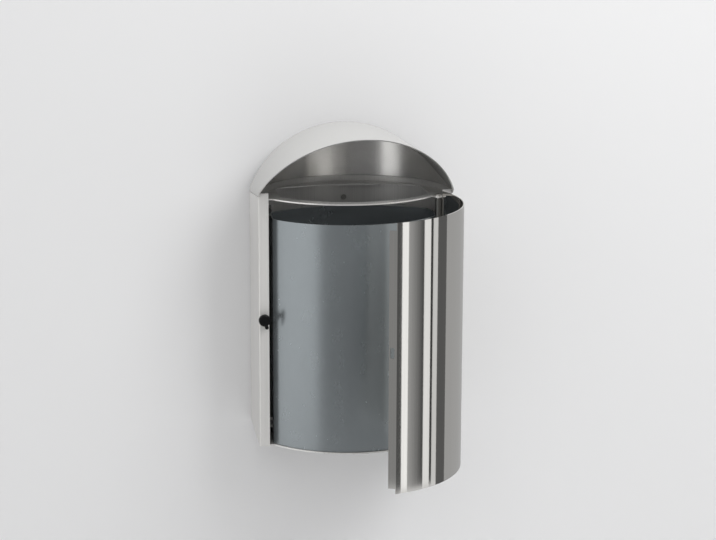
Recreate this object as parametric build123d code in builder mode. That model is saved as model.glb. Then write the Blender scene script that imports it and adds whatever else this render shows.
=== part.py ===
# Wall-mounted ashtray bin. Millimetres, +Z up, the wall at y = 0, the front towards -Y.
# The origin is the centre of the four wall holes. The door is built open, as in the photo.
import os
from math import atan2
from math import degrees
from math import radians
from math import sqrt

from build123d import *

os.makedirs("parts", exist_ok=True)

# Sheets
sheet = 1.5
back_thick = 2.0
shell_thick = 1.2
plate_thick = 2.0
bend_radius = 2.0

# Gaps
weld_gap = 0.1
seam_gap = 0.5
part_gap = 0.3
running_gap = 0.05
plate_shell_gap = 0.2

# Casing
body_width = 295.0
body_height = 394.0
flange_top = 200.0
flange_width = 15.5
flange_to_plate = 1.0
shell_start = 9.0

# Hood
hood_shoulder = 10.5
hood_drop = 74.0
hood_flare = 0.05
hood_overhang = 122.0
skirt = 6.0
rim_lean = 1.13
rim_drop = 7.5

# Aperture plate and floor plate
top_plate_drop = 9.0
ring_door_gap = 8.0
ring_shift = 4.0
floor_door_gap = 6.0
aperture_side = 33.5
aperture_front_width = 17.2
aperture_back_width = 31.6
aperture_shoulder = 18.0
aperture_back_rise = 23.0
aperture_front_corner = 10.0
aperture_back_corner = 8.0
aperture_rear_width = 4.0

# Wall holes and the screws of the back shell
hole_spacing_x = 120.0
hole_spacing_z = 250.0
wall_hole_radius = 3.5
access_hole_radius = 8.0
screw_radius = 2.5
screw_head_radius = 4.25
screw_head_height = 2.8
screw_bevel = 1.0
recess_length = 4.4
recess_width = 0.9
recess_depth = 1.4
seat_gap = 0.1
screw_top_drop = 35.0
screw_bottom_rise = 59.0

# Door and hinge
door_bulge = 64.7
door_inset = 16.5
door_set_forward = 1.0
door_top_drop = 1.5
door_overhang = 4.5
return_depth = 11.5
return_plate_gap = 2.0
hinge_inset = 22.5
tube_radius = 4.0
pin_radius = 2.5
pin_engage = 20.0
pin_head_radius = 4.5
pin_head_height = 3.0
washer_thick = 2.0
washer_radius = 4.5
lug_radius = 6.0
lug_notch_gap = 2.0
lug_length = 20.0
lug_turn = -53.0
pin_bevel = 1.0
open_angle = 67.5

# Door stops
stop_gap = 0.5
stop_thick = 1.5
stop_height = 16.0
stop_tab = 16.0
buffer_thick = 2.5
buffer_radius = 4.0
upper_stop_drop = 29.0
lower_stop_rise = 34.0
buffer_bevel = 0.8
rivet_radius = 1.6
rivet_head_radius = 3.0
rivet_head_height = 0.8
rivet_tail_lip = 0.6

# Lock
lock_drop = 193.0
rosette_radius = 7.0
rosette_thick = 2.0
rosette_bevel = 0.8
barrel_radius = 4.0
barrel_gap = 0.2
nut_across = 11.0
nut_thick = 2.5
spindle_radius = 2.5
neck_radius = 3.2
neck_length = 5.0
knob_radius = 9.0
knob_height = 6.0
knob_round = 2.4
pointer_length = 14.5
pointer_width = 5.5
pointer_tilt = 16.0
cam_thick = 2.0
cam_width = 6.0
cam_hub_radius = 4.0
cam_pass = 2.5
cam_square = 3.6
cam_screw_radius = 1.1
cam_screw_head_radius = 2.7
cam_screw_head_height = 1.8
cam_screw_bevel = 0.7
slot_side_gap = 2.0
slot_end_gap = 1.5

# Liner
liner_wall = 1.0
liner_lip_gap = 4.0
liner_door_gap = 8.5
liner_side_end = 60.0
liner_back_gap = 38.8
liner_back_corner = 25.0
liner_front_corner = 3.0
liner_rim_drop = 41.0
liner_floor_gap = 0.3
liner_floor_raise = 2.0
liner_floor_thick = 1.2
hem_height = 9.0
hem_thick = 1.0

# Heights that follow from the sizes
screw_bottom_drop = body_height - screw_bottom_rise
lower_stop_drop = body_height - lower_stop_rise

# Casing positions that follow from the sizes
half = body_width / 2
inner_half = half - sheet
body_depth = inner_half + back_thick
front_y = -body_depth
bottom_z = flange_top - body_height
flange_edge = half - flange_width
shell_radius = inner_half - shell_thick
hood_axis_z = flange_top - hood_drop
hood_reach = body_depth + hood_overhang
hood_wall_radius = half + hood_shoulder
arch_radius = hood_wall_radius - sheet - weld_gap
arch_shoulder_z = hood_axis_z + sqrt(arch_radius**2 - inner_half**2)
hood_front_radius = hood_wall_radius + hood_flare * hood_reach
hood_flange_radius = hood_wall_radius + hood_flare * body_depth
seam_wall_z = hood_axis_z + sqrt(hood_wall_radius**2 - half**2) - skirt
seam_front_z = hood_axis_z + sqrt(hood_flange_radius**2 - half**2) - skirt
top_plate_z = flange_top - top_plate_drop - plate_thick
plate_start_y = front_y + sheet + flange_to_plate
plate_rear_radius = shell_radius - plate_shell_gap

# Door positions, closed, that follow from the sizes
door_free_x = door_inset - half
door_free_y = front_y - door_set_forward
door_rise = door_bulge - door_set_forward
door_radius = (door_free_x**2 + door_rise**2) / (2 * door_rise)
door_inner_radius = door_radius - sheet
door_center_y = front_y - door_bulge + door_radius
door_top_z = flange_top - door_top_drop
door_bottom_z = bottom_z - door_overhang
hinge_x = half - hinge_inset
hinge_y = door_center_y - sqrt((door_radius - tube_radius) ** 2 - hinge_x**2)
return_top_z = top_plate_z - return_plate_gap
return_bottom_z = bottom_z + plate_thick + part_gap + 0.7
return_inner_x = door_free_x + sheet
return_end_y = door_free_y + return_depth
tube_top_z = return_top_z
tube_bottom_z = bottom_z + plate_thick + washer_thick + part_gap
notch_radius = lug_radius + lug_notch_gap
notch_top_z = top_plate_z - 1.5
notch_bottom_z = bottom_z + plate_thick + washer_thick + 1.0

# Lock positions that follow from the sizes
lock_x = -(half + flange_edge) / 2
lock_z = flange_top - lock_drop
barrel_end = sheet + nut_thick + 0.2
cam_front = barrel_end + part_gap
cam_reach = return_inner_x - lock_x + cam_pass
slot_bottom_z = lock_z - cam_width / 2 - slot_end_gap
slot_top_z = lock_z + sqrt(cam_reach**2 - (door_free_x - lock_x) ** 2) + slot_end_gap

# Liner positions that follow from the sizes
liner_half = -return_inner_x - liner_lip_gap
liner_front_radius = door_inner_radius - liner_door_gap
liner_shoulder_y = door_center_y - sqrt(liner_front_radius**2 - liner_half**2)
liner_front_y = door_center_y - liner_front_radius
liner_side_y = front_y + liner_side_end
liner_back_y = front_y + shell_radius - liner_back_gap
liner_bottom_z = bottom_z + plate_thick + liner_floor_gap
liner_rim_z = flange_top - liner_rim_drop

# Planes
vault_plane = Plane(origin=(0, 0, hood_axis_z), x_dir=(1, 0, 0), z_dir=(0, -1, 0))
rim_plane = Plane(origin=(0, front_y, flange_top - rim_drop), x_dir=(1, 0, 0), z_dir=(0, 1, rim_lean))
seam_plane = Plane(
    origin=(0, 0, seam_wall_z),
    x_dir=(1, 0, 0),
    z_dir=(0, seam_front_z - seam_wall_z, body_depth),
)
lock_plane = Plane(origin=(lock_x, front_y, lock_z), x_dir=(1, 0, 0), z_dir=(0, -1, 0))
hinge_plane = Plane(origin=(hinge_x, hinge_y, 0))
door_plane = hinge_plane.rotated((0, 0, open_angle))


# A point of the closed door, measured from the hinge axis
def from_hinge(x, y):
    return (x - hinge_x, y - hinge_y)


# A plate inside the shell: round at the back, bulging at the front, with a lug for a hinge pin
def plate_outline(plane, front_radius, front_shift):
    reach = sqrt(front_radius**2 - (door_center_y - plate_start_y) ** 2)
    side = sqrt(plate_rear_radius**2 - (plate_start_y - front_y) ** 2)
    with BuildSketch(plane) as outline:
        with BuildLine():
            ThreePointArc((side, plate_start_y), (0, front_y + plate_rear_radius), (-side, plate_start_y))
            Line((-side, plate_start_y), (-front_shift - reach, plate_start_y))
            ThreePointArc(
                (-front_shift - reach, plate_start_y),
                (-front_shift, door_center_y - front_radius),
                (reach - front_shift, plate_start_y),
            )
            Line((reach - front_shift, plate_start_y), (side, plate_start_y))
        make_face()
        with Locations((hinge_x, hinge_y)):
            Circle(lug_radius)
        with Locations(Location((hinge_x, hinge_y, 0), (0, 0, lug_turn))):
            Rectangle(lug_length, 2 * lug_radius, align=(Align.MAX, Align.CENTER))
        with Locations((hinge_x, hinge_y)):
            Circle(pin_radius, mode=Mode.SUBTRACT)
    return outline.sketch


# Outline of a side sheet with its front flange, on the side given by -1 or 1
def side_outline(side):
    with BuildSketch(Plane.XY.offset(bottom_z)) as outline:
        with BuildLine():
            Polyline(
                (side * half, 0),
                (side * half, front_y),
                (side * flange_edge, front_y),
                (side * flange_edge, front_y + sheet),
                (side * inner_half, front_y + sheet),
                (side * inner_half, 0),
                close=True,
            )
        make_face()
    return outline.sketch


# Space that the hood takes over a side sheet
def hood_relief(side):
    with BuildSketch(Plane.YZ.offset(side * (inner_half - weld_gap))) as relief:
        with BuildLine():
            Polyline(
                (2, seam_wall_z - seam_gap),
                (0, seam_wall_z - seam_gap),
                (front_y, seam_front_z - seam_gap),
                (front_y - 2, seam_front_z - seam_gap),
                (front_y - 2, flange_top + 10),
                (2, flange_top + 10),
                close=True,
            )
        make_face()
    return relief.sketch


# Solid vault between the side planes, used to shape the hood and its back
with BuildPart() as vault_outside:
    with Locations(vault_plane):
        Cone(
            hood_wall_radius,
            hood_front_radius,
            hood_reach,
            align=(Align.CENTER, Align.CENTER, Align.MIN),
        )
    with Locations((0, -hood_reach / 2, hood_axis_z)):
        Box(2 * half, hood_reach, 2 * hood_front_radius, mode=Mode.INTERSECT)

with BuildPart() as vault_inside:
    with Locations(vault_plane):
        Cone(
            hood_wall_radius - sheet,
            hood_front_radius - sheet,
            hood_reach,
            align=(Align.CENTER, Align.CENTER, Align.MIN),
        )
    with Locations((0, -hood_reach / 2, hood_axis_z)):
        Box(2 * inner_half, hood_reach, 2 * hood_front_radius, mode=Mode.INTERSECT)

with BuildPart() as vault_space:
    with Locations(vault_plane):
        Cone(
            hood_wall_radius - sheet - weld_gap,
            hood_front_radius - sheet - weld_gap,
            hood_reach,
            align=(Align.CENTER, Align.CENTER, Align.MIN),
        )
    with Locations((0, -hood_reach / 2, hood_axis_z)):
        Box(2 * (inner_half - weld_gap), hood_reach, 2 * hood_front_radius, mode=Mode.INTERSECT)

# Hood: bent sheet with two short skirts, cut to a leaning rim
with BuildPart() as hood:
    add(vault_outside.part)
    add(vault_inside.part, mode=Mode.SUBTRACT)
    split(bisect_by=seam_plane, keep=Keep.TOP)
    split(bisect_by=rim_plane, keep=Keep.TOP)
hood.part.label = "hood"
export_step(hood.part, "parts/hood.step")

# Back of the hood: the back shell's curve, continued up to the vault
with BuildPart() as hood_back:
    with BuildSketch(Plane.XY.offset(flange_top)):
        with Locations((0, front_y)):
            Circle(inner_half)
            Circle(shell_radius, mode=Mode.SUBTRACT)
            Rectangle(
                2 * half,
                2 * half,
                align=(Align.CENTER, Align.MIN),
                mode=Mode.INTERSECT,
            )
    extrude(amount=hood_front_radius)
    add(vault_space.part, mode=Mode.INTERSECT)
hood_back.part.label = "hood_back"
export_step(hood_back.part, "parts/hood_back.step")

# Back plate against the wall
with BuildPart() as back_plate:
    with BuildSketch(Plane.XZ):
        with Locations((0, hood_axis_z)):
            Circle(arch_radius)
        with Locations((0, bottom_z)):
            Rectangle(
                2 * inner_half,
                hood_axis_z + hood_wall_radius - bottom_z,
                align=(Align.CENTER, Align.MIN),
                mode=Mode.INTERSECT,
            )
        with Locations((0, bottom_z)):
            Rectangle(
                2 * inner_half,
                arch_shoulder_z - bottom_z,
                align=(Align.CENTER, Align.MIN),
            )
        with GridLocations(hole_spacing_x, hole_spacing_z, 2, 2):
            Circle(wall_hole_radius, mode=Mode.SUBTRACT)
        with Locations((0, flange_top - screw_top_drop), (0, flange_top - screw_bottom_drop)):
            Circle(screw_radius + running_gap, mode=Mode.SUBTRACT)
    extrude(amount=back_thick)
back_plate.part.label = "back_plate"
export_step(back_plate.part, "parts/back_plate.step")

# Left side sheet, with the lock hole in its flange
with BuildPart() as side_wall_left:
    extrude(side_outline(-1), amount=body_height)
    fillet(side_wall_left.edges().filter_by(Axis.Z).sort_by_distance((-half, front_y, 0))[0], bend_radius)
    extrude(hood_relief(-1), amount=-(sheet + 2), mode=Mode.SUBTRACT)
    with Locations(lock_plane):
        Cylinder(barrel_radius + barrel_gap, 6 * sheet, mode=Mode.SUBTRACT)
side_wall_left.part.label = "side_wall_left"
export_step(side_wall_left.part, "parts/side_wall_left.step")

# Right side sheet
with BuildPart() as side_wall_right:
    extrude(side_outline(1), amount=body_height)
    fillet(side_wall_right.edges().filter_by(Axis.Z).sort_by_distance((half, front_y, 0))[0], bend_radius)
    extrude(hood_relief(1), amount=(sheet + 2), mode=Mode.SUBTRACT)
side_wall_right.part.label = "side_wall_right"
export_step(side_wall_right.part, "parts/side_wall_right.step")

# Aperture plate under the hood
aperture_half = half - aperture_side
aperture_shoulder_y = front_y + aperture_shoulder
aperture_back_y = front_y + shell_radius - aperture_back_width
ring_radius = door_inner_radius - ring_door_gap
with BuildPart() as top_plate:
    extrude(plate_outline(Plane.XY.offset(top_plate_z), ring_radius, ring_shift), amount=plate_thick)
    with BuildSketch(Plane.XY.offset(top_plate_z)) as aperture:
        with BuildLine():
            Line((aperture_half, aperture_shoulder_y), (aperture_half, aperture_back_y - aperture_back_rise))
            ThreePointArc(
                (aperture_half, aperture_back_y - aperture_back_rise),
                (0, aperture_back_y),
                (-aperture_half, aperture_back_y - aperture_back_rise),
            )
            Line((-aperture_half, aperture_back_y - aperture_back_rise), (-aperture_half, aperture_shoulder_y))
            ThreePointArc(
                (-aperture_half, aperture_shoulder_y),
                (0, door_center_y - ring_radius + aperture_front_width),
                (aperture_half, aperture_shoulder_y),
            )
        make_face()
        with Locations((0, front_y)):
            Circle(plate_rear_radius - aperture_rear_width, mode=Mode.INTERSECT)
        rear_corners = aperture.vertices().filter_by_position(Axis.Y, front_y + aperture_shoulder + 1, 0)
        fillet(rear_corners, aperture_back_corner)
        fillet(aperture.vertices().group_by(Axis.Y)[0], aperture_front_corner)
    extrude(amount=plate_thick, mode=Mode.SUBTRACT)
top_plate.part.label = "top_plate"
export_step(top_plate.part, "parts/top_plate.step")

# Floor plate of the casing
with BuildPart() as bottom_plate:
    extrude(
        plate_outline(Plane.XY.offset(bottom_z), door_inner_radius - floor_door_gap, 0),
        amount=plate_thick,
    )
bottom_plate.part.label = "bottom_plate"
export_step(bottom_plate.part, "parts/bottom_plate.step")

# Two pan-head screws that hold the back shell to the back plate
with BuildPart() as shell_screws:
    for drop in (screw_top_drop, screw_bottom_drop):
        seat = Plane(origin=(0, front_y + shell_radius - seat_gap, flange_top - drop), z_dir=(0, -1, 0))
        with Locations(seat):
            Cylinder(
                screw_head_radius,
                screw_head_height,
                align=(Align.CENTER, Align.CENTER, Align.MIN),
            )
            Cylinder(
                screw_radius,
                shell_thick + back_thick - weld_gap,
                align=(Align.CENTER, Align.CENTER, Align.MAX),
            )
    chamfer(shell_screws.edges().group_by(Axis.Y)[0], screw_bevel)
    for drop in (screw_top_drop, screw_bottom_drop):
        crown_y = front_y + shell_radius - seat_gap - screw_head_height
        with Locations((0, crown_y, flange_top - drop)):
            Box(recess_length, 2 * recess_depth, recess_width, mode=Mode.SUBTRACT)
            Box(recess_width, 2 * recess_depth, recess_length, mode=Mode.SUBTRACT)
shell_screws.part.label = "shell_screws"
export_step(shell_screws.part, "parts/shell_screws.step")


# Door stop: a plate across the return's path and a curved tab along the shell
stop_face_y = return_end_y + stop_gap + buffer_thick
stop_outer_radius = shell_radius - weld_gap


def door_stop(drop):
    with BuildSketch(Plane.XY.offset(flange_top - drop - stop_height / 2)) as outline:
        with Locations((0, front_y)):
            Circle(stop_outer_radius)
            Circle(stop_outer_radius - stop_thick, mode=Mode.SUBTRACT)
        with Locations((-half, stop_face_y)):
            Rectangle(
                half / 2,
                stop_tab,
                align=(Align.MIN, Align.MIN),
                mode=Mode.INTERSECT,
            )
        with Locations((-stop_outer_radius + 1.6, stop_face_y)):
            Rectangle(
                stop_outer_radius - 1.6 + return_inner_x + 3.0,
                stop_thick,
                align=(Align.MIN, Align.MIN),
            )
    return outline.sketch


rivet_turn = 1.0 + degrees((stop_face_y - front_y + stop_tab * 0.6) / shell_radius)


def rivet_plane(drop):
    base = Plane(origin=(0, front_y, flange_top - drop)).rotated((0, 0, -rivet_turn))
    return Plane(
        origin=(base.origin - base.x_dir * stop_outer_radius),
        x_dir=(0, 0, 1),
        z_dir=base.x_dir,
    )


# Back shell: half a cylinder, with access holes in front of the wall holes and rivet holes
with BuildPart() as back_shell:
    with BuildSketch(Plane.XY.offset(bottom_z)):
        with Locations((0, front_y)):
            Circle(inner_half)
            Circle(shell_radius, mode=Mode.SUBTRACT)
        with Locations((0, front_y + shell_start)):
            Rectangle(
                2 * half,
                2 * half,
                align=(Align.CENTER, Align.MIN),
                mode=Mode.INTERSECT,
            )
    extrude(amount=body_height - seam_gap)
    with BuildSketch(Plane.XZ):
        with GridLocations(hole_spacing_x, hole_spacing_z, 2, 2):
            Circle(access_hole_radius)
        with Locations((0, flange_top - screw_top_drop), (0, flange_top - screw_bottom_drop)):
            Circle(screw_radius + 0.2)
    extrude(amount=body_depth, mode=Mode.SUBTRACT)
    for drop in (upper_stop_drop, lower_stop_drop):
        with Locations(rivet_plane(drop)):
            Cylinder(rivet_radius, 6 * stop_thick, mode=Mode.SUBTRACT)
back_shell.part.label = "back_shell"
export_step(back_shell.part, "parts/back_shell.step")

# Door stops
with BuildPart() as door_stop_upper:
    extrude(door_stop(upper_stop_drop), amount=stop_height)
    with Locations(rivet_plane(upper_stop_drop)):
        Cylinder(rivet_radius, 6 * stop_thick, mode=Mode.SUBTRACT)
door_stop_upper.part.label = "door_stop_upper"
export_step(door_stop_upper.part, "parts/door_stop_upper.step")

with BuildPart() as door_stop_lower:
    extrude(door_stop(lower_stop_drop), amount=stop_height)
    with Locations(rivet_plane(lower_stop_drop)):
        Cylinder(rivet_radius, 6 * stop_thick, mode=Mode.SUBTRACT)
door_stop_lower.part.label = "door_stop_lower"
export_step(door_stop_lower.part, "parts/door_stop_lower.step")

# Rubber buffers on the stops
with BuildPart() as stop_buffers:
    for drop in (upper_stop_drop, lower_stop_drop):
        with Locations(Plane(origin=(door_free_x + sheet / 2, stop_face_y, flange_top - drop), z_dir=(0, -1, 0))):
            Cylinder(
                buffer_radius,
                buffer_thick,
                align=(Align.CENTER, Align.CENTER, Align.MIN),
            )
    chamfer(stop_buffers.edges().group_by(Axis.Y)[0], buffer_bevel)
stop_buffers.part.label = "stop_buffers"
export_step(stop_buffers.part, "parts/stop_buffers.step")

# Rivets that hold the stops to the back shell
with BuildPart() as stop_rivets:
    for drop in (upper_stop_drop, lower_stop_drop):
        with Locations(rivet_plane(drop)):
            Cylinder(
                rivet_radius,
                2 * (stop_thick + 2 * weld_gap),
                align=(Align.CENTER, Align.CENTER, Align.CENTER),
            )
            with Locations((0, 0, stop_thick + weld_gap)):
                Cylinder(
                    rivet_head_radius,
                    rivet_head_height,
                    align=(Align.CENTER, Align.CENTER, Align.MIN),
                )
            with Locations((0, 0, -shell_thick - weld_gap)):
                Cylinder(
                    rivet_radius + rivet_tail_lip,
                    rivet_head_height,
                    align=(Align.CENTER, Align.CENTER, Align.MAX),
                )
stop_rivets.part.label = "stop_rivets"
export_step(stop_rivets.part, "parts/stop_rivets.step")

# Hinge pins, fixed in the lugs
with BuildPart() as upper_hinge_pin:
    with Locations((hinge_x, hinge_y, flange_top - top_plate_drop)):
        Cylinder(
            pin_head_radius,
            pin_head_height,
            align=(Align.CENTER, Align.CENTER, Align.MIN),
        )
        Cylinder(
            pin_radius,
            flange_top - top_plate_drop - tube_top_z + pin_engage,
            align=(Align.CENTER, Align.CENTER, Align.MAX),
        )
    chamfer(upper_hinge_pin.edges().group_by(Axis.Z)[-1], pin_bevel)
upper_hinge_pin.part.label = "upper_hinge_pin"
export_step(upper_hinge_pin.part, "parts/upper_hinge_pin.step")

with BuildPart() as lower_hinge_pin:
    with Locations((hinge_x, hinge_y, bottom_z)):
        Cylinder(
            pin_head_radius,
            pin_head_height,
            align=(Align.CENTER, Align.CENTER, Align.MAX),
        )
        Cylinder(
            pin_radius,
            tube_bottom_z + pin_engage - bottom_z,
            align=(Align.CENTER, Align.CENTER, Align.MIN),
        )
    chamfer(lower_hinge_pin.edges().group_by(Axis.Z)[0], pin_bevel)
lower_hinge_pin.part.label = "lower_hinge_pin"
export_step(lower_hinge_pin.part, "parts/lower_hinge_pin.step")

# Washer that the door stands on
with BuildPart() as hinge_washer:
    with Locations((hinge_x, hinge_y, bottom_z + plate_thick)):
        Cylinder(
            washer_radius,
            washer_thick,
            align=(Align.CENTER, Align.CENTER, Align.MIN),
        )
        Cylinder(
            pin_radius + running_gap,
            3 * washer_thick,
            mode=Mode.SUBTRACT,
        )
hinge_washer.part.label = "hinge_washer"
export_step(hinge_washer.part, "parts/hinge_washer.step")

# Door skin: curved sheet with a return along its free edge
skin_end_angle = atan2(hinge_y - door_center_y, hinge_x) - radians(0.6)
return_root_y = door_center_y - sqrt(door_inner_radius**2 - return_inner_x**2)
skin_outer_end = Vector(door_radius, 0).rotate(Axis.Z, degrees(skin_end_angle))
skin_inner_end = Vector(door_inner_radius, 0).rotate(Axis.Z, degrees(skin_end_angle))
with BuildPart() as door_skin:
    with BuildSketch(door_plane.offset(door_bottom_z)) as skin_outline:
        with BuildLine():
            ThreePointArc(
                from_hinge(door_free_x, door_free_y),
                from_hinge(0, door_center_y - door_radius),
                from_hinge(skin_outer_end.X, skin_outer_end.Y + door_center_y),
            )
            Polyline(
                from_hinge(skin_outer_end.X, skin_outer_end.Y + door_center_y),
                from_hinge(skin_inner_end.X, skin_inner_end.Y + door_center_y),
            )
            ThreePointArc(
                from_hinge(skin_inner_end.X, skin_inner_end.Y + door_center_y),
                from_hinge(0, door_center_y - door_inner_radius),
                from_hinge(return_inner_x, return_root_y),
            )
            Polyline(
                from_hinge(return_inner_x, return_root_y),
                from_hinge(return_inner_x, return_end_y),
                from_hinge(door_free_x, return_end_y),
                from_hinge(door_free_x, door_free_y),
            )
        make_face()
    extrude(amount=door_top_z - door_bottom_z)
    with BuildSketch(door_plane.offset(return_top_z)):
        with Locations(from_hinge(door_free_x - 1, door_free_y + 1.0)):
            Rectangle(sheet + 2, return_depth + 2, align=(Align.MIN, Align.MIN))
    extrude(amount=60, mode=Mode.SUBTRACT)
    with BuildSketch(door_plane.offset(return_bottom_z)):
        with Locations(from_hinge(door_free_x - 1, door_free_y + 1.0)):
            Rectangle(sheet + 2, return_depth + 2, align=(Align.MIN, Align.MIN))
    extrude(amount=-60, mode=Mode.SUBTRACT)
    with BuildSketch(door_plane.offset(door_bottom_z - 1)):
        Circle(tube_radius)
    extrude(amount=door_top_z - door_bottom_z + 2, mode=Mode.SUBTRACT)
    with BuildSketch(door_plane.offset(notch_top_z)):
        Circle(notch_radius)
    extrude(amount=60, mode=Mode.SUBTRACT)
    with BuildSketch(door_plane.offset(notch_bottom_z)):
        Circle(notch_radius)
    extrude(amount=-60, mode=Mode.SUBTRACT)
    with BuildSketch(door_plane.offset(slot_bottom_z)):
        with Locations(from_hinge(door_free_x - 1, front_y + cam_front - slot_side_gap)):
            Rectangle(sheet + 2, cam_thick + 2 * slot_side_gap, align=(Align.MIN, Align.MIN))
    extrude(amount=slot_top_z - slot_bottom_z, mode=Mode.SUBTRACT)
door_skin.part.label = "door_skin"
export_step(door_skin.part, "parts/door_skin.step")

# Hinge tube along the door
with BuildPart() as hinge_tube:
    with BuildSketch(door_plane.offset(tube_bottom_z)):
        Circle(tube_radius)
        Circle(pin_radius + running_gap, mode=Mode.SUBTRACT)
    extrude(amount=tube_top_z - tube_bottom_z)
hinge_tube.part.label = "hinge_tube"
export_step(hinge_tube.part, "parts/hinge_tube.step")

# Lock housing: a rosette in front of the flange and a barrel through it
with BuildPart() as lock_housing:
    with BuildSketch(lock_plane):
        Circle(rosette_radius)
    extrude(amount=rosette_thick)
    chamfer(lock_housing.edges().group_by(Axis.Y)[0], rosette_bevel)
    with BuildSketch(lock_plane):
        Circle(barrel_radius)
    extrude(amount=-barrel_end)
    with BuildSketch(lock_plane.offset(rosette_thick + 1)):
        Circle(spindle_radius + running_gap)
    extrude(amount=-(rosette_thick + barrel_end + 2), mode=Mode.SUBTRACT)
lock_housing.part.label = "lock_housing"
export_step(lock_housing.part, "parts/lock_housing.step")

# Nut behind the flange
with BuildPart() as lock_nut:
    with BuildSketch(lock_plane.offset(-sheet)):
        RegularPolygon(nut_across / 2, 6, major_radius=False, rotation=30)
        Circle(barrel_radius + running_gap, mode=Mode.SUBTRACT)
    extrude(amount=-nut_thick)
lock_nut.part.label = "lock_nut"
export_step(lock_nut.part, "parts/lock_nut.step")

# Turn knob with its pointer, neck and spindle
neck_start = rosette_thick + part_gap
knob_start = neck_start + neck_length
with BuildPart() as lock_knob:
    with BuildSketch(lock_plane.offset(neck_start)):
        Circle(neck_radius)
    extrude(amount=neck_length)
    with BuildSketch(lock_plane.offset(knob_start)):
        Circle(knob_radius)
    extrude(amount=knob_height)
    fillet(lock_knob.edges().group_by(Axis.Y)[0], knob_round)
    with BuildSketch(lock_plane.offset(knob_start)):
        with Locations(Location((0, 0, 0), (0, 0, pointer_tilt))):
            with Locations((0, -pointer_length + pointer_width / 2)):
                Circle(pointer_width / 2)
            Rectangle(
                pointer_width,
                pointer_length - pointer_width / 2,
                align=(Align.CENTER, Align.MAX),
            )
    extrude(amount=knob_height * 0.5)
    with BuildSketch(lock_plane.offset(neck_start)):
        Circle(spindle_radius)
    extrude(amount=-(neck_start + cam_front))
    with BuildSketch(lock_plane.offset(-cam_front)):
        Rectangle(cam_square - 0.1, cam_square - 0.1)
    extrude(amount=-cam_thick)
    with BuildSketch(lock_plane.offset(-cam_front - cam_thick - 1)):
        Circle(cam_screw_radius + running_gap)
    extrude(amount=cam_front + cam_thick, mode=Mode.SUBTRACT)
lock_knob.part.label = "lock_knob"
export_step(lock_knob.part, "parts/lock_knob.step")

# Cam behind the flange, up when the lock is open
with BuildPart() as lock_cam:
    with BuildSketch(lock_plane.offset(-cam_front)):
        Circle(cam_hub_radius)
        Rectangle(cam_width, cam_reach - cam_width / 2, align=(Align.CENTER, Align.MIN))
        with Locations((0, cam_reach - cam_width / 2)):
            Circle(cam_width / 2)
        Rectangle(cam_square, cam_square, mode=Mode.SUBTRACT)
    extrude(amount=-cam_thick)
lock_cam.part.label = "lock_cam"
export_step(lock_cam.part, "parts/lock_cam.step")

# Screw that holds the cam on the spindle
with BuildPart() as cam_screw:
    with BuildSketch(lock_plane.offset(-cam_front - cam_thick - running_gap)):
        Circle(cam_screw_head_radius)
    extrude(amount=-cam_screw_head_height)
    chamfer(cam_screw.edges().group_by(Axis.Y)[-1], cam_screw_bevel)
    with BuildSketch(lock_plane.offset(-cam_front - cam_thick - running_gap)):
        Circle(cam_screw_radius)
    extrude(amount=cam_front + cam_thick - 2)
cam_screw.part.label = "cam_screw"
export_step(cam_screw.part, "parts/cam_screw.step")


# Outline of the liner, drawn in from its outer face by the given amount
def liner_outline(height, inward):
    with BuildSketch(Plane.XY.offset(height)) as outline:
        with BuildLine():
            Line((liner_half, liner_shoulder_y), (liner_half, liner_side_y))
            ThreePointArc((liner_half, liner_side_y), (0, liner_back_y), (-liner_half, liner_side_y))
            Line((-liner_half, liner_side_y), (-liner_half, liner_shoulder_y))
            ThreePointArc(
                (-liner_half, liner_shoulder_y),
                (0, liner_front_y),
                (liner_half, liner_shoulder_y),
            )
        make_face()
        fillet(outline.vertices().group_by(Axis.Y)[-1], liner_back_corner)
        fillet(outline.vertices().group_by(Axis.Y)[0], liner_front_corner)
        if inward:
            offset(amount=-inward, mode=Mode.REPLACE)
    return outline.sketch


# Liner wall with its folded rim
with BuildPart() as liner_shell:
    extrude(liner_outline(liner_bottom_z, 0), amount=liner_rim_z - liner_bottom_z)
    extrude(
        liner_outline(liner_bottom_z, liner_wall),
        amount=liner_rim_z - liner_bottom_z - hem_height,
        mode=Mode.SUBTRACT,
    )
    extrude(
        liner_outline(liner_rim_z, liner_wall + hem_thick),
        amount=-2 * hem_height,
        mode=Mode.SUBTRACT,
    )
liner_shell.part.label = "liner_shell"
export_step(liner_shell.part, "parts/liner_shell.step")

# Liner floor
with BuildPart() as liner_floor:
    extrude(
        liner_outline(liner_bottom_z + liner_floor_raise, liner_wall + weld_gap),
        amount=liner_floor_thick,
    )
liner_floor.part.label = "liner_floor"
export_step(liner_floor.part, "parts/liner_floor.step")
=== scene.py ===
import math

import bpy
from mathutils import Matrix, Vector

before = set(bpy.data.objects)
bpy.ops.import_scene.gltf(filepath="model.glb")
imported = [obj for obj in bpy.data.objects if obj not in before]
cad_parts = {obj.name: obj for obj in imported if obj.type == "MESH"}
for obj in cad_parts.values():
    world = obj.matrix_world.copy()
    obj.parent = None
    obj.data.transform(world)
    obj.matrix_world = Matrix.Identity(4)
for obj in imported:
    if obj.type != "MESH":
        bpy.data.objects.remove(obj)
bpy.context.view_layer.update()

# Camera, in metres, at the photograph's viewing angle
CAMERA_PLACE = (-0.4284, -3.2527, 0.7825)
CAMERA_TARGET = (0.0034, -0.148, 0.079)
CAMERA_LENS = 106.66
SENSOR_WIDTH = 36.0
CAMERA_ROLL = math.radians(0.17)
CAMERA_REACH = 50.0

# Wall and floor, in metres
WALL_GAP = 0.0005
WALL_LEFT = -2.2
WALL_RIGHT = 1.7
WALL_TOP = 2.0
FLOOR_Z = -1.0
FLOOR_FRONT = -5.0
WALL_COLOR = (0.86, 0.86, 0.865)
FLOOR_COLOR = (0.80, 0.80, 0.80)

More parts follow.
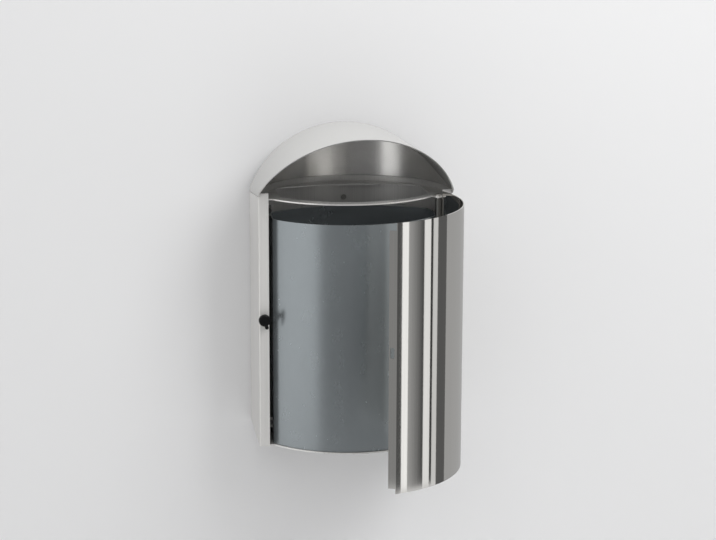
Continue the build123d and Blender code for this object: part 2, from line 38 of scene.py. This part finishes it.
# How bright metal sees the floor, and the wall below and above two heights: a painted glow, which on
# the wall is lighter above
FLOOR_IN_METAL = 0.55
WALL_IN_METAL = 0.43
WALL_IN_METAL_ABOVE = 0.92
SHADE_LOW = 0.12
SHADE_HIGH = 0.33

# Curved cards around the open door
DOOR_CENTER = (-0.0188, -0.2258)
CARD_RADIUS = 2.4
NEAR_RADIUS = 1.0
CARD_LOW = -0.95
CARD_HIGH = 1.9
CARD_STEPS = 8

# Light levels of the world: on plain surfaces, and as the camera and metal see it
WORLD_LEVEL = 0.58
WORLD_PALE = 0.80

# Noise values that a texture makes use of, and the depth of a grain line in metres
NOISE_LOW = 0.25
NOISE_HIGH = 0.75
NOISE_ROUGHNESS = 0.6
GRAIN_DEPTH = 0.0005

# How fine a grain is along X, Y and Z, per metre
ALONG_Z = (900.0, 900.0, 4.0)
ALONG_X = (4.0, 900.0, 900.0)
ALONG_Y = (900.0, 4.0, 900.0)
EVEN_GRAIN = (500.0, 500.0, 500.0)
ZINC_CLOUDS = (45.0, 45.0, 25.0)
MOTTLE = (400.0, 400.0, 400.0)

STEEL = (0.70, 0.69, 0.665)
ZINC = (0.305, 0.335, 0.35)
SATIN = (0.82, 0.81, 0.79)
HOOD_SATIN = (0.65, 0.645, 0.63)
FIXING = (0.6, 0.59, 0.57)
DULL = (0.16, 0.16, 0.155)
BLACK = (0.005, 0.005, 0.006)
RUBBER = (0.02, 0.02, 0.02)
WHITE = (1.0, 1.0, 1.0, 1.0)


def new_material(name):
    """An empty material with its output."""
    material = bpy.data.materials.new(name)
    material.use_nodes = True
    nodes = material.node_tree.nodes
    nodes.clear()
    output = nodes.new("ShaderNodeOutputMaterial")
    return material, nodes, material.node_tree.links, output


def grain_noise(nodes, links, stretch, detail):
    """Noise drawn out along the axis whose stretch is small."""
    place = nodes.new("ShaderNodeTexCoord")
    mapping = nodes.new("ShaderNodeMapping")
    mapping.inputs["Scale"].default_value = stretch
    noise = nodes.new("ShaderNodeTexNoise")
    noise.inputs["Scale"].default_value = 1.0
    noise.inputs["Detail"].default_value = detail
    noise.inputs["Roughness"].default_value = NOISE_ROUGHNESS
    links.new(place.outputs["Object"], mapping.inputs["Vector"])
    links.new(mapping.outputs["Vector"], noise.inputs["Vector"])
    return noise


def spread(nodes, links, source, low, high):
    """Map a noise value to the range from low to high."""
    ranged = nodes.new("ShaderNodeMapRange")
    ranged.inputs["From Min"].default_value = NOISE_LOW
    ranged.inputs["From Max"].default_value = NOISE_HIGH
    ranged.inputs["To Min"].default_value = low
    ranged.inputs["To Max"].default_value = high
    links.new(source.outputs["Fac"], ranged.inputs["Value"])
    return ranged


def tinted(nodes, links, value, color):
    """A colour times a grey value."""
    tint = nodes.new("ShaderNodeVectorMath")
    tint.operation = "SCALE"
    tint.inputs[0].default_value = color
    links.new(value.outputs["Result"], tint.inputs["Scale"])
    return tint


def brushed_steel(name, color, roughness, stretch, grain=0.08, bump=0.02, metallic=1.0, uneven=0.15):
    """Metal with a fine grain, drawn out along one axis. Satin faces are partly metallic."""
    material, nodes, links, output = new_material(name)
    shader = nodes.new("ShaderNodeBsdfPrincipled")
    shader.inputs["Metallic"].default_value = metallic
    noise = grain_noise(nodes, links, stretch, 3.0)
    value = spread(nodes, links, noise, 1.0 - grain, 1.0 + grain)
    tint = tinted(nodes, links, value, color)
    links.new(tint.outputs["Vector"], shader.inputs["Base Color"])
    rough = spread(nodes, links, noise, roughness * (1.0 - uneven), roughness * (1.0 + uneven))
    links.new(rough.outputs["Result"], shader.inputs["Roughness"])
    relief = nodes.new("ShaderNodeBump")
    relief.inputs["Strength"].default_value = bump
    relief.inputs["Distance"].default_value = GRAIN_DEPTH
    links.new(noise.outputs["Fac"], relief.inputs["Height"])
    links.new(relief.outputs["Normal"], shader.inputs["Normal"])
    links.new(shader.outputs["BSDF"], output.inputs["Surface"])
    return material


def zinc_sheet(name, color, roughness, metallic):
    """Galvanised sheet: dull, with faint clouds."""
    material, nodes, links, output = new_material(name)
    shader = nodes.new("ShaderNodeBsdfPrincipled")
    shader.inputs["Metallic"].default_value = metallic
    noise = grain_noise(nodes, links, ZINC_CLOUDS, 4.0)
    value = spread(nodes, links, noise, 0.97, 1.03)
    tint = tinted(nodes, links, value, color)
    links.new(tint.outputs["Vector"], shader.inputs["Base Color"])
    rough = spread(nodes, links, noise, roughness * 0.97, roughness * 1.03)
    links.new(rough.outputs["Result"], shader.inputs["Roughness"])
    links.new(shader.outputs["BSDF"], output.inputs["Surface"])
    return material


def plain(name, color, roughness, specular=0.5):
    """Plastic, rubber or paint with a faint mottle."""
    material, nodes, links, output = new_material(name)
    shader = nodes.new("ShaderNodeBsdfPrincipled")
    shader.inputs["Specular IOR Level"].default_value = specular
    noise = grain_noise(nodes, links, MOTTLE, 2.0)
    value = spread(nodes, links, noise, 0.9, 1.1)
    tint = tinted(nodes, links, value, color)
    links.new(tint.outputs["Vector"], shader.inputs["Base Color"])
    shader.inputs["Roughness"].default_value = roughness
    links.new(shader.outputs["BSDF"], output.inputs["Surface"])
    return material


def paint_node(node, material):
    """Give a CAD node one material."""
    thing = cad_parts[node]
    slots = thing.material_slots
    if not slots:
        thing.data.materials.append(material)
    for place in slots:
        place.link = "OBJECT"
        place.material = material


casing_steel = brushed_steel("casing steel", SATIN, 0.42, ALONG_Z, grain=0.04, bump=0.01, metallic=0.35)
hood_steel = brushed_steel(
    "hood steel", HOOD_SATIN, 0.27, ALONG_Y, grain=0.006, bump=0.0, metallic=0.6, uneven=0.01
)
inner_steel = brushed_steel("inner steel", SATIN, 0.22, ALONG_Z, grain=0.05, metallic=0.8)
shell_steel = brushed_steel("shell steel", SATIN, 0.36, ALONG_Z, metallic=0.6)
door_steel = brushed_steel("door steel", STEEL, 0.05, ALONG_Z, grain=0.04, bump=0.005)
plate_steel = brushed_steel("plate steel", SATIN, 0.30, ALONG_X, metallic=0.5)
fixing_steel = brushed_steel("fixing steel", FIXING, 0.3, EVEN_GRAIN)
dull_steel = brushed_steel("dull steel", DULL, 0.35, EVEN_GRAIN)
liner_zinc = zinc_sheet("liner zinc", ZINC, 0.27, 0.65)
lock_black = plain("lock black", BLACK, 0.38, specular=0.2)
buffer_black = plain("buffer black", RUBBER, 0.7)

FINISHES = {
    "hood": hood_steel,
    "hood_back": inner_steel,
    "back_plate": casing_steel,
    "side_wall_left": casing_steel,
    "side_wall_right": casing_steel,
    "back_shell": shell_steel,
    "top_plate": plate_steel,
    "bottom_plate": plate_steel,
    "shell_screws": fixing_steel,
    "door_stop_upper": dull_steel,
    "door_stop_lower": dull_steel,
    "stop_buffers": buffer_black,
    "stop_rivets": dull_steel,
    "upper_hinge_pin": fixing_steel,
    "lower_hinge_pin": fixing_steel,
    "hinge_washer": fixing_steel,
    "lock_housing": lock_black,
    "lock_nut": fixing_steel,
    "door_skin": door_steel,
    "hinge_tube": dull_steel,
    "lock_knob": lock_black,
    "lock_cam": fixing_steel,
    "cam_screw": fixing_steel,
    "liner_shell": liner_zinc,
    "liner_floor": liner_zinc,
}
for node, finish in FINISHES.items():
    paint_node(node, finish)


def mesh_object(name, points, faces, material):
    """A mesh from points and faces, placed in the scene."""
    mesh = bpy.data.meshes.new(name)
    mesh.from_pydata(points, [], faces)
    mesh.update()
    thing = bpy.data.objects.new(name, mesh)
    thing.data.materials.append(material)
    bpy.context.scene.collection.objects.link(thing)
    return thing


def backdrop_material(name, color, seen_in_metal, seen_above=None):
    """Pale paint, clear from behind. Metal sees a painted glow on it, even, or lighter above."""
    material, nodes, links, output = new_material(name)
    paint = nodes.new("ShaderNodeBsdfDiffuse")
    paint.inputs["Color"].default_value = (*color, 1.0)
    glow = nodes.new("ShaderNodeEmission")
    glow.inputs["Color"].default_value = WHITE
    glow.inputs["Strength"].default_value = seen_in_metal
    if seen_above is not None:
        # painted glow for metal: its strength rises with height, so the wall looks lit more above
        place = nodes.new("ShaderNodeTexCoord")
        split = nodes.new("ShaderNodeSeparateXYZ")
        rise = nodes.new("ShaderNodeMapRange")
        rise.inputs["From Min"].default_value = SHADE_LOW
        rise.inputs["From Max"].default_value = SHADE_HIGH
        rise.inputs["To Min"].default_value = seen_in_metal
        rise.inputs["To Max"].default_value = seen_above
        links.new(place.outputs["Object"], split.inputs["Vector"])
        links.new(split.outputs["Z"], rise.inputs["Value"])
        links.new(rise.outputs["Result"], glow.inputs["Strength"])
    path = nodes.new("ShaderNodeLightPath")
    by_ray = nodes.new("ShaderNodeMixShader")
    links.new(path.outputs["Is Glossy Ray"], by_ray.inputs["Fac"])
    links.new(paint.outputs["BSDF"], by_ray.inputs[1])
    links.new(glow.outputs["Emission"], by_ray.inputs[2])
    clear = nodes.new("ShaderNodeBsdfTransparent")
    side = nodes.new("ShaderNodeNewGeometry")
    by_side = nodes.new("ShaderNodeMixShader")
    links.new(side.outputs["Backfacing"], by_side.inputs["Fac"])
    links.new(by_ray.outputs["Shader"], by_side.inputs[1])
    links.new(clear.outputs["BSDF"], by_side.inputs[2])
    links.new(by_side.outputs["Shader"], output.inputs["Surface"])
    return material


wall_paint = backdrop_material("wall paint", WALL_COLOR, WALL_IN_METAL, seen_above=WALL_IN_METAL_ABOVE)
wall = mesh_object(
    "wall",
    [
        (WALL_LEFT, WALL_GAP, FLOOR_Z),
        (WALL_RIGHT, WALL_GAP, FLOOR_Z),
        (WALL_RIGHT, WALL_GAP, WALL_TOP),
        (WALL_LEFT, WALL_GAP, WALL_TOP),
    ],
    [(0, 1, 2, 3)],
    wall_paint,
)
floor_paint = backdrop_material("floor paint", FLOOR_COLOR, FLOOR_IN_METAL)
floor = mesh_object(
    "floor",
    [
        (WALL_LEFT, FLOOR_FRONT, FLOOR_Z),
        (WALL_RIGHT, FLOOR_FRONT, FLOOR_Z),
        (WALL_RIGHT, WALL_GAP, FLOOR_Z),
        (WALL_LEFT, WALL_GAP, FLOOR_Z),
    ],
    [(0, 1, 2, 3)],
    floor_paint,
)


def card(name, start, end, brightness, radius=CARD_RADIUS, fade=None):
    """A curved card around the door that only reflections see. Angles are in degrees from +X."""
    material, nodes, links, output = new_material(name)
    glow = nodes.new("ShaderNodeEmission")
    glow.inputs["Color"].default_value = WHITE
    glow.inputs["Strength"].default_value = brightness
    links.new(glow.outputs["Emission"], output.inputs["Surface"])
    points = []
    for step in range(CARD_STEPS + 1):
        angle = math.radians(start + (end - start) * step / CARD_STEPS)
        x = DOOR_CENTER[0] + radius * math.cos(angle)
        y = DOOR_CENTER[1] + radius * math.sin(angle)
        points.append((x, y, CARD_LOW))
        points.append((x, y, CARD_HIGH))
    faces = [(2 * i, 2 * i + 1, 2 * i + 3, 2 * i + 2) for i in range(CARD_STEPS)]
    thing = mesh_object(name, points, faces, material)
    if fade is not None:
        shade = nodes.new("ShaderNodeTexCoord")
        ramp = nodes.new("ShaderNodeMapRange")
        split = nodes.new("ShaderNodeSeparateXYZ")
        links.new(shade.outputs["Generated"], split.inputs["Vector"])
        links.new(split.outputs["Y"], ramp.inputs["Value"])
        ramp.inputs["To Min"].default_value = brightness
        ramp.inputs["To Max"].default_value = fade
        links.new(ramp.outputs["Result"], glow.inputs["Strength"])
    thing.visible_camera = False
    thing.visible_diffuse = False
    thing.visible_shadow = False
    thing.visible_transmission = False


# What the steel mirrors, from the left round the front to the right
card("left card", -185.0, -131.0, 1.1)
card("lip card", -131.0, -122.0, 0.28)
card("front card", -122.0, -52.0, 0.17)
card("dark edge", -52.0, -46.0, 0.10)
card("strip light", -46.0, -39.0, 1.15)
card("fading card", -39.0, -20.5, 0.42, fade=0.06)
card("pale card", -20.0, -11.7, 0.98)
card("thin flag", -11.7, -8.5, 0.04)
card("bright card", -8.5, -1.5, 0.75)
card("dark flag", -5.9, 8.1, 0.12, radius=NEAR_RADIUS)


def area_light(name, place, target, size, power):
    """A square white lamp that faces its target."""
    lamp = bpy.data.lights.new(name, "AREA")
    lamp.shape = "SQUARE"
    lamp.size = size
    lamp.energy = power
    thing = bpy.data.objects.new(name, lamp)
    thing.location = place
    thing.rotation_euler = (Vector(target) - Vector(place)).to_track_quat("-Z", "Y").to_euler()
    bpy.context.scene.collection.objects.link(thing)
    thing.visible_camera = False


area_light("key", place=(1.2, -1.9, 1.8), target=(0.0, -0.1, 0.05), size=1.4, power=31.0)
area_light("front fill", place=(-0.8, -3.0, 1.9), target=(0.0, 0.0, 0.0), size=1.8, power=12.0)

# World: pale for the camera and for metal, a plain level for the rest
world = bpy.data.worlds.new("studio")
bpy.context.scene.world = world
world.use_nodes = True
world_nodes = world.node_tree.nodes
world_links = world.node_tree.links
world_nodes.clear()
world_output = world_nodes.new("ShaderNodeOutputWorld")
plain_light = world_nodes.new("ShaderNodeBackground")
plain_light.inputs["Color"].default_value = WHITE
plain_light.inputs["Strength"].default_value = WORLD_LEVEL
pale_light = world_nodes.new("ShaderNodeBackground")
pale_light.inputs["Color"].default_value = WHITE
pale_light.inputs["Strength"].default_value = WORLD_PALE
world_path = world_nodes.new("ShaderNodeLightPath")
camera_or_glossy = world_nodes.new("ShaderNodeMath")
camera_or_glossy.operation = "MAXIMUM"
with_transmission = world_nodes.new("ShaderNodeMath")
with_transmission.operation = "MAXIMUM"
world_links.new(world_path.outputs["Is Camera Ray"], camera_or_glossy.inputs[0])
world_links.new(world_path.outputs["Is Glossy Ray"], camera_or_glossy.inputs[1])
world_links.new(camera_or_glossy.outputs["Value"], with_transmission.inputs[0])
world_links.new(world_path.outputs["Is Transmission Ray"], with_transmission.inputs[1])
world_mix = world_nodes.new("ShaderNodeMixShader")
world_links.new(with_transmission.outputs["Value"], world_mix.inputs["Fac"])
world_links.new(plain_light.outputs["Background"], world_mix.inputs[1])
world_links.new(pale_light.outputs["Background"], world_mix.inputs[2])
world_links.new(world_mix.outputs["Shader"], world_output.inputs["Surface"])

camera_data = bpy.data.cameras.new("camera")
camera_data.lens = CAMERA_LENS
camera_data.sensor_width = SENSOR_WIDTH
camera_data.clip_end = CAMERA_REACH
camera = bpy.data.objects.new("camera", camera_data)
camera.location = CAMERA_PLACE
look = (Vector(CAMERA_TARGET) - Vector(CAMERA_PLACE)).to_track_quat("-Z", "Y")
camera.rotation_euler = look.to_euler()
camera.rotation_euler.rotate_axis("Z", CAMERA_ROLL)
bpy.context.scene.collection.objects.link(camera)
bpy.context.scene.camera = camera
bpy.context.scene.view_settings.view_transform = "Standard"
bpy.context.scene.cycles.caustics_reflective = False
